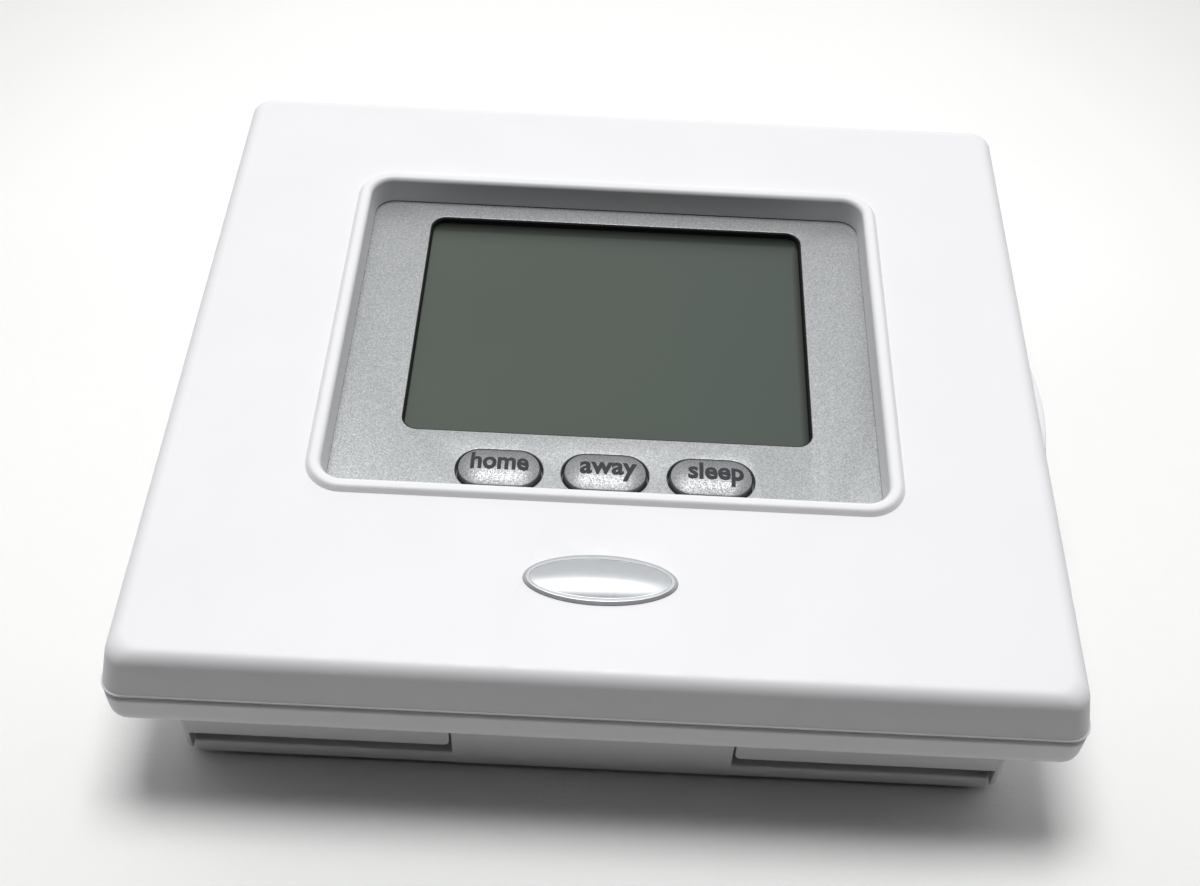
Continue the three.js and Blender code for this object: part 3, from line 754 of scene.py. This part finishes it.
# ---- keys ------------------------------------------------------------------------------------


def dome_over(name):
    """Gives the height of a key's dome over any point of its plan."""
    style = key_style(name)
    low, high = box_mm(name + "_button")
    centre = (low + high) / 2
    radius = style["radius"] - KEY_DRAFT
    half = (style["width"] / 2 - style["radius"], style["height"] / 2 - style["radius"])
    reach = style["height"] / 2 - KEY_DRAFT

    def height(x, y):
        across = abs(x - centre.x) - half[0]
        along = abs(y - centre.y) - half[1]
        outside = sqrt(max(across, 0) ** 2 + max(along, 0) ** 2)
        share = (radius - outside - min(max(across, along), 0)) / reach
        return high.z - style["dome"] * (1 - max(0, min(1, share))) ** 2

    return height


def key_mesh(name):
    """A domed key with a retaining flange behind the fascia."""
    style = key_style(name)
    centre = middle(name + "_button").xy
    width, height, radius = style["width"], style["height"], style["radius"]
    top = box_mm(name + "_button")[1].z
    flange_top = FASCIA_TOP - KEY_FLANGE["depth"]
    flange_low = flange_top - KEY_FLANGE["thickness"]
    flange = -KEY_FLANGE["width"]
    edge = top - style["dome"]
    reach = min(width, height) / 2 - KEY_DRAFT

    def outline(inset, z):
        corner = max(radius - inset, 0.02)
        return at(ring(width - 2 * inset, height - 2 * inset, corner, centre, 16, 10), z)

    corners = [
        (1, flange_low, 0), (flange, flange_low, 0.1), (flange, flange_top, 0.1),
        (0, flange_top, 0.15), (0, FASCIA_TOP - 0.6, 0), (KEY_DRAFT, edge, 0.14), (0.6, edge + 0.2, 0),
    ]
    layers = [outline(inset, z) for inset, z in rounded(corners, 5)[:-1]]
    for step in range(KEY_DOME_RINGS):
        share = 0.1 + 0.89 * step / KEY_DOME_RINGS
        layers.append(outline(KEY_DRAFT + reach * share, edge + style["dome"] * (1 - (1 - share) ** 2)))
    return loft(layers)


def key_stem(name):
    centre = middle(name + "_button").xy
    low = box_mm(name + "_button")[0].z
    stem = [(1.2, low), (1.4, low + 0.2), (1.4, FASCIA_TOP - 2.4)]
    return loft([at(oval(2 * radius, 2 * radius, centre, 24), z) for radius, z in stem])


def lettering(key, width, x_height, weight, place):
    """A key's name as a thin skin of ink on its dome: the place is its left end on the baseline."""
    text = bpy.data.curves.new("legend", "FONT")
    text.body = key
    text.size = INK["size_per_x_height"] * x_height * MM
    text.offset = weight * MM
    text.extrude = INK["height"] * MM
    text.resolution_u = 3
    maker = bpy.data.objects.new("legend", text)
    bpy.context.scene.collection.objects.link(maker)
    bpy.context.view_layer.update()
    data = bpy.data.meshes.new_from_object(maker.evaluated_get(bpy.context.evaluated_depsgraph_get()))
    mesh = bmesh.new()
    mesh.from_mesh(data)
    bpy.data.objects.remove(maker)
    bpy.data.meshes.remove(data)
    bmesh.ops.remove_doubles(mesh, verts=mesh.verts, dist=SAME_PLACE)
    left = min(v.co.x for v in mesh.verts)
    stretch = width * MM / (max(v.co.x for v in mesh.verts) - left)
    for vertex in mesh.verts:
        vertex.co.x = place[0] * MM + (vertex.co.x - left) * stretch
        vertex.co.y += place[1] * MM
    for _ in range(4):
        long_edges = [e for e in mesh.edges if e.calc_length() > INK["longest_edge"] * MM]
        bmesh.ops.subdivide_edges(mesh, edges=long_edges, cuts=1)
        bmesh.ops.triangulate(mesh, faces=[f for f in mesh.faces if len(f.verts) > 4])
    dome = dome_over(key)
    for vertex in mesh.verts:
        vertex.co.z += (dome(vertex.co.x / MM, vertex.co.y / MM) - INK["sunk"]) * MM
    bmesh.ops.recalc_face_normals(mesh, faces=mesh.faces)
    legend = piece(key + "_legend", mesh)
    dress(legend, LEGEND, "button_silver", key + "_button")


def arrow_sign(key, turn):
    """A printed triangle that points up or down."""
    centre = middle(key + "_button")
    mesh = bmesh.new()
    corners = ((-1.7, -1.1), (1.7, -1.1), (0, 1.6))
    verts = [mesh.verts.new(Vector((centre.x + x, centre.y + turn * y, 0)) * MM) for x, y in corners]
    mesh.faces.new(verts)
    bmesh.ops.subdivide_edges(mesh, edges=mesh.edges[:], cuts=7, use_grid_fill=True)
    grown = bmesh.ops.extrude_face_region(mesh, geom=mesh.faces[:])
    raised = {v for v in grown["geom"] if isinstance(v, bmesh.types.BMVert)}
    dome = dome_over(key)
    for vertex in mesh.verts:
        lift = INK["height"] if vertex in raised else -INK["height"]
        vertex.co.z = (dome(vertex.co.x / MM, vertex.co.y / MM) - INK["sunk"] + lift) * MM
    bmesh.ops.recalc_face_normals(mesh, faces=mesh.faces)
    sign = piece(key + "_legend", mesh)
    dress(sign, LEGEND, "button_silver", key + "_button")


def make_keys():
    """The nine keys, each with the stem that reaches its switch."""
    for name in PRESETS + ARROWS + MENUS:
        key = piece(name + "_key", key_mesh(name))
        combine(key, [key_stem(name)], "UNION")
        dress(key, KEY_SILVER, "button_silver", name + "_button", name + "_button")


def make_legends():
    """Printed words: each preset's stands a little off its key's middle."""
    for name, width, left in (("home", 8.5, 4.15), ("away", 8.35, 3.72), ("sleep", 8.15, 3.42)):
        centre = middle(name + "_button")
        lettering(name, width, 2.5, 0.14, (centre.x - left, centre.y - 0.7))
    for name, width in (("mode", 7.6), ("fan", 4.8), ("program", 9.6), ("hold", 6)):
        centre = middle(name + "_button")
        lettering(name, width, 1.8, 0.12, (centre.x - width / 2, centre.y - 0.75))
    arrow_sign("temp_up", 1)
    arrow_sign("temp_down", -1)


# ---- rear housing ----------------------------------------------------------------------------

RIM = {
    "overhang": 0.4,  # how far the door's lower edge stands out over it in front and behind
    "side": -0.08,  # the same at the sides, where the rim stands out a little
    "edge": 0.8, "round": 4, "corner": 2.8, "bottom": 14.45, "wall": 2.2, "floor": 16.4, "top": 22.08,
}
SKIRT = {"width": 117.4, "height": 109.2, "wall": 1.2, "draft": 0.1, "bottom": 1.6, "ceiling": 14.2}
TONGUE_BOTTOM = 5.9
CENTRE_WALL = {"width": 40, "thickness": 1.8}
VENTS = {"count": 9, "pitch": 10, "width": 7, "low": 8, "high": 9.6}
SOCKET = {"x": 37, "y": 10, "width": 5, "length": 42}  # the slot for a row of blades, one at each side
BOSS = {"radius": 3, "top": 18.3}
EAR = {"radius": 1.25, "chamfer": 0.15, "root": RIM["top"] - 2}


def rim_ring(inset, z):
    """The rim's outline, which follows the door's."""
    radius = max(RIM["corner"] - inset, 1)
    width = WIDTH - DOOR["hinge_side"] - 2 * (RIM["side"] + inset)
    height = HEIGHT - 2 * (RIM["overhang"] + inset)
    return at(ring(width, height, radius, (DOOR["hinge_side"] / 2, 0), 10, 12), z)


def skirt_ring(inset, z):
    fall = max(0, (RIM["bottom"] - z) / (RIM["bottom"] - SKIRT["bottom"]))
    width = SKIRT["width"] - 2 * (inset + SKIRT["draft"] * fall)
    return at(ring(width, SKIRT["height"] - 2 * inset, max(1.4 - inset / 2, 0.4), (0, 0), 10, 12), z)


def housing_mesh():
    """The body without its openings and posts: down the rim inside and out, then the skirt."""
    rim = rounded([
        (8, RIM["floor"], 0), (RIM["wall"], RIM["floor"], 0.8), (RIM["wall"], RIM["top"], 0.15),
        (0, RIM["top"], RIM["edge"]), (0, RIM["bottom"], RIM["round"]), (6, RIM["bottom"], 0),
    ], 10)
    skirt = rounded([
        (-2, RIM["bottom"], 0), (0, RIM["bottom"], 0.5), (0, SKIRT["bottom"], 0.3),
        (SKIRT["wall"], SKIRT["bottom"], 0.3), (SKIRT["wall"], SKIRT["ceiling"], 0.5),
        (8, SKIRT["ceiling"], 0),
    ])
    layers = [rim_ring(inset, z) for inset, z in rim[:-1]]
    layers += [skirt_ring(inset, z) for inset, z in skirt[1:]]
    return loft(layers)


def housing_cutters():
    """The gap round the tongues and the centre wall, the vents, and the blades' slots."""
    front = -SKIRT["height"] / 2
    half = CENTRE_WALL["width"] / 2 + GAP
    outer = SKIRT["width"] / 2 - SKIRT["wall"] - SKIRT["draft"]
    depth = CENTRE_WALL["thickness"] + 2 * GAP
    slot = rounded([
        (-outer, -1, 0), (-outer, TONGUE_BOTTOM, 0.4), (-half, TONGUE_BOTTOM, 1),
        (-half, RIM["bottom"], 0.2), (half, RIM["bottom"], 0.2), (half, TONGUE_BOTTOM, 1),
        (outer, TONGUE_BOTTOM, 0.4), (outer, -1, 0),
    ])
    ends = (front - 1, front + depth)
    tools = [loft([[Vector((x, y, z)) for x, z in slot] for y in ends])]
    for i in range(VENTS["count"]):
        x = (i - (VENTS["count"] - 1) / 2) * VENTS["pitch"]
        low = (x - VENTS["width"] / 2, -front - 3, VENTS["low"])
        tools.append(block(low, (x + VENTS["width"] / 2, -front + 1, VENTS["high"]), 0.4))
    half, reach = SOCKET["width"] / 2, SOCKET["length"] / 2
    for x in (-SOCKET["x"], SOCKET["x"]):
        low = (x - half, SOCKET["y"] - reach, SKIRT["ceiling"] - 0.5)
        tools.append(block(low, (x + half, SOCKET["y"] + reach, RIM["floor"] + 0.5), 0.3))
    return tools


def housing_bosses():
    """The posts under the circuit board's screws."""
    radius, top = BOSS["radius"], BOSS["top"]
    radii = (
        (radius + 0.4, RIM["floor"] - 0.5), (radius, RIM["floor"] + 0.5),
        (radius, top - 0.2), (radius - 0.2, top),
    )
    bosses = []
    for i in range(1, 5):
        place = middle("board_screw_%d" % i).xy
        bosses.append(loft([at(oval(2 * r, 2 * r, place, 32), z) for r, z in radii]))
    return bosses


def hinge_ears():
    """The two ears on the rim that hold the hinge pins."""
    radius, chamfer = EAR["radius"], EAR["chamfer"]
    half = HINGE["ear"] / 2
    profile = [Vector((HINGE["x"] - 1.1, EAR["root"])), Vector((HINGE["x"] + radius, EAR["root"]))]
    for step in range(15):
        angle = -0.1 + (pi + 0.35) * step / 14
        profile.append(Vector((HINGE["x"] + radius * cos(angle), HINGE["z"] + radius * sin(angle))))
    heart = Vector((HINGE["x"], HINGE["z"] - 1))
    ears = []
    for y in HINGE["ys"]:
        layers = []
        for edge, shrink in ((-half, chamfer), (-half + chamfer, 0), (half - chamfer, 0), (half, chamfer)):
            layer = [p + (heart - p).normalized() * shrink for p in profile]
            layers.append([Vector((p.x, y + edge, p.y)) for p in layer])
        ears.append(loft(layers))
    return ears


def pin_holes():
    circle = oval(HINGE["hole"], HINGE["hole"], (HINGE["x"], HINGE["z"]), 24)
    ends = (-HINGE["ear"], HINGE["ear"])
    return [loft([[Vector((p.x, y + end, p.y)) for p in circle] for end in ends]) for y in HINGE["ys"]]


def make_housing():
    housing = piece("housing_shell", housing_mesh())
    combine(housing, housing_cutters(), "DIFFERENCE")
    combine(housing, housing_bosses() + hinge_ears(), "UNION")
    combine(housing, pin_holes(), "DIFFERENCE")
    dress(housing, WHITE, "white_plastic", "housing", "rear_housing")


# ---- mounting base ---------------------------------------------------------------------------

BASE = {
    "width": 113.9, "top": 53, "height": 9, "wall": 1.6, "plate": 2,
    "lift": 0.75, "undercut": 2.6, "wall_top": 3.75, "step": 1,
}
HOOK = {"x": 34, "ys": (48, -43), "width": 10, "thickness": 2, "top": 12.6}
RIB = {"spread": 19, "width": 1.4, "depth": 5, "top": 12}
WIRE_OPENING = {"width": 36, "height": 22, "centre": (0, 16)}
SCREW_SLOT = {"width": 3.8, "length": 10, "x": 47, "y": 30}


def base_mesh():
    """The plate on its recessed foot, with a low outer wall and a higher wall set in from it."""
    front = -SKIRT["height"] / 2
    upper_height = 2 * (BASE["top"] - BASE["step"])

    def lower_ring(inset, z):
        height = BASE["top"] - front - 2 * inset
        centre = (0, (BASE["top"] + front) / 2)
        return at(ring(BASE["width"] - 2 * inset, height, max(0.6 - inset / 2, 0.3), centre, 8, 8), z)

    def upper_ring(inset, z):
        width = BASE["width"] - 2 * (BASE["step"] + inset)
        return at(ring(width, upper_height - 2 * inset, max(1.6 - inset / 2, 0.6), (0, 0), 8, 8), z)

    lower = rounded([
        (8, 0, 0), (BASE["undercut"], 0, 0.1), (BASE["undercut"], BASE["lift"], 0.3), (0, BASE["lift"], 0.4),
        (0, BASE["wall_top"], 0.35), (0.9, BASE["wall_top"], 0),
    ], 4)
    upper = rounded([
        (-0.1, BASE["wall_top"], 0), (0, BASE["wall_top"] + 0.02, 0), (0, BASE["height"], 0.3),
        (BASE["wall"], BASE["height"], 0.3), (BASE["wall"], BASE["plate"], 0.5), (8, BASE["plate"], 0),
    ], 4)
    layers = [lower_ring(inset, z) for inset, z in lower[:-1]]
    layers += [upper_ring(inset, z) for inset, z in upper[1:]]
    return loft(layers)


def make_base():
    """The base with its centre wall, ribs and hooks, the wire opening and four screw slots."""
    front = -SKIRT["height"] / 2
    half = CENTRE_WALL["width"] / 2
    top = RIM["bottom"] - GAP
    additions = [block((-half, front, BASE["lift"]), (half, front + CENTRE_WALL["thickness"], top), 0.25)]
    for x in (-RIB["spread"], 0, RIB["spread"]):
        low = (x - RIB["width"] / 2, front + 1, BASE["plate"] / 2)
        additions.append(block(low, (x + RIB["width"] / 2, front + 1 + RIB["depth"], RIB["top"]), 0.2))
    for x in (-HOOK["x"], HOOK["x"]):
        for y in HOOK["ys"]:
            low = (x - HOOK["width"] / 2, y - HOOK["thickness"] / 2, BASE["plate"] / 2)
            high = (x + HOOK["width"] / 2, y + HOOK["thickness"] / 2, HOOK["top"])
            additions.append(block(low, high, 0.3))
    centre = WIRE_OPENING["centre"]
    cutters = [opening(
        WIRE_OPENING["width"], WIRE_OPENING["height"], 3, centre, -1, BASE["plate"], 0.4,
    )]
    for x in (-SCREW_SLOT["x"], SCREW_SLOT["x"]):
        for y in (-SCREW_SLOT["y"], SCREW_SLOT["y"]):
            cutters.append(opening(
                SCREW_SLOT["width"], SCREW_SLOT["length"], 1.85, (x, y), -1, BASE["plate"], 0.5,
            ))
    base = piece("base_shell", base_mesh())
    combine(base, additions, "UNION")
    combine(base, cutters, "DIFFERENCE")
    dress(base, WHITE, "white_plastic", "base", "mounting_base")


# ---- small parts inside ----------------------------------------------------------------------

# How each small part's node starts, and the bevel on its edges.
SMALL_PARTS = (
    ("terminal_block_", 0.3), ("terminal_screw_", 0.1), ("circuit_board", 0.12), ("board_screw_", 0.1),
    ("display_backlight", 0.25), ("upper_contact_strip", 0.25), ("lower_contact_strip", 0.25),
    ("control_chip", 0.12), ("temperature_sensor", 0.15), ("relay_", 0.4), ("pin_header_", 0.1),
    ("hinge_pin_", 0.08),
)
SWITCH_BEVEL = 0.2


def refine(row, bevel):
    """Copies a CAD solid, merges its flat facets and bevels its edges."""
    node = row["node"]
    source = frame["nodes"][node]
    mesh = bmesh.new()
    mesh.from_mesh(source.data)
    mesh.transform(source.matrix_world)
    bmesh.ops.remove_doubles(mesh, verts=mesh.verts, dist=SAME_PLACE)
    bmesh.ops.dissolve_limit(mesh, angle_limit=radians(2), verts=mesh.verts, edges=mesh.edges)
    made = piece(node + "_shape", mesh)
    change = made.modifiers.new("edges", "BEVEL")
    change.width = bevel * MM
    change.segments = 2
    change.limit_method = "ANGLE"
    change.angle_limit = radians(40)
    apply_modifiers(made)
    slot = row["material_slot"]
    body = "base" if node.startswith("terminal_") else "housing"
    dress(made, SLOT_MATERIALS[slot], slot, body, node)


def refine_small_parts():
    for row in frame["record"]["subparts"]:
        for start, bevel in SMALL_PARTS:
            if row["node"].startswith(start):
                refine(row, bevel)
        if row["node"].endswith("_switch"):
            refine(row, SWITCH_BEVEL)


make_badge()
make_fascia()
make_display()
make_keys()
make_legends()
make_housing()
make_base()
refine_small_parts()


# ---- camera, light and floor -----------------------------------------------------------------

CAMERA_PLACE = (-0.8, -167.4, 208.1)
CAMERA_YAW, CAMERA_TILT, CAMERA_ROLL = 0.06, 40.08, 2.69
# In metres. The floor's colour carries a painted falloff of light: full tone out to "bright" from the
# object, darkest from "dim" on.
LAMP = {"place": (-0.02, 0.07, 0.6), "size": (0.26, 0.18), "watts": 2.55}
PAPER = {"size": 5, "bright": 0.12, "dim": 0.4}


def make_camera():
    """The camera that sees the object as the photo does."""
    camera = bpy.data.objects.new("camera", bpy.data.cameras.new("camera"))
    bpy.context.scene.collection.objects.link(camera)
    camera.data.lens = 48
    camera.data.sensor_width = 36
    camera.data.clip_start = 0.01
    camera.matrix_world = (
        Matrix.Translation(Vector(CAMERA_PLACE) * MM)
        @ Matrix.Rotation(radians(CAMERA_YAW), 4, "Z")
        @ Matrix.Rotation(radians(CAMERA_TILT), 4, "X")
        @ Matrix.Rotation(radians(CAMERA_ROLL), 4, "Z")
    )
    bpy.context.scene.camera = camera


def make_lamp():
    """One soft lamp overhead, a little behind the object, that faces it."""
    data = bpy.data.lights.new("key", "AREA")
    data.shape = "RECTANGLE"
    data.size, data.size_y = LAMP["size"]
    data.energy = LAMP["watts"]
    lamp = bpy.data.objects.new("key", data)
    bpy.context.scene.collection.objects.link(lamp)
    lamp.location = LAMP["place"]
    lamp.rotation_euler = (-Vector(LAMP["place"])).to_track_quat("-Z", "Y").to_euler()


def make_world():
    """A pale room: bright overhead and behind the object, dark on the side that it is seen from."""
    world = bpy.data.worlds.new("studio")
    bpy.context.scene.world = world
    world.use_nodes = True
    nodes = Nodes(world.node_tree)
    way = nodes.add("ShaderNodeTexCoord").outputs["Generated"]
    parts = nodes.add("ShaderNodeSeparateXYZ", {"Vector": way}).outputs
    sideways = nodes.maths("MULTIPLY", nodes.maths("ABSOLUTE", parts["X"]), 0.28)
    behind = nodes.band(nodes.maths("ADD", sideways, parts["Y"]), -0.1, 0.5, 0.01, 0.95, "SMOOTHSTEP")
    overhead = nodes.band(parts["Z"], 0.02, 0.45, 0.6, 1, "SMOOTHSTEP")
    background = world.node_tree.nodes["Background"]
    world.node_tree.links.new(nodes.maths("MULTIPLY", behind, overhead), background.inputs["Strength"])
    background.inputs["Color"].default_value = (1, 1, 1, 1)


def make_floor():
    """Pale paper with a painted falloff of light: its colour darkens away from the object."""
    finish = Finish("floor_paper", (0.9, 0.9, 0.89), 0.7)
    # Painted light falloff: the paper's colour fades towards grey away from the object.
    away = finish.add("ShaderNodeVectorMath", {0: finish.place, 1: (0, 0.03, 0)}, operation="DISTANCE")
    far = finish.band(away.outputs["Value"], PAPER["bright"], PAPER["dim"])
    paper = finish.mix(finish.noise(40, 3), (0.89, 0.89, 0.882), (0.91, 0.91, 0.902))
    finish.feed("Base Color", finish.mix(far, paper, (0.46, 0.46, 0.455)))
    finish.bump(finish.noise(1.4, 4), 0.02, 0.5)
    finish.bump(finish.noise(0.4, 2), 0.045, 0.5)
    mesh = bmesh.new()
    bmesh.ops.create_grid(mesh, x_segments=1, y_segments=1, size=PAPER["size"] / 2)
    floor = piece("floor", mesh)
    floor.data.materials.append(finish.material)


make_camera()
make_world()
make_floor()
make_lamp()
bpy.context.scene.view_settings.view_transform = "Standard"
bpy.context.scene.view_settings.gamma = 0.87
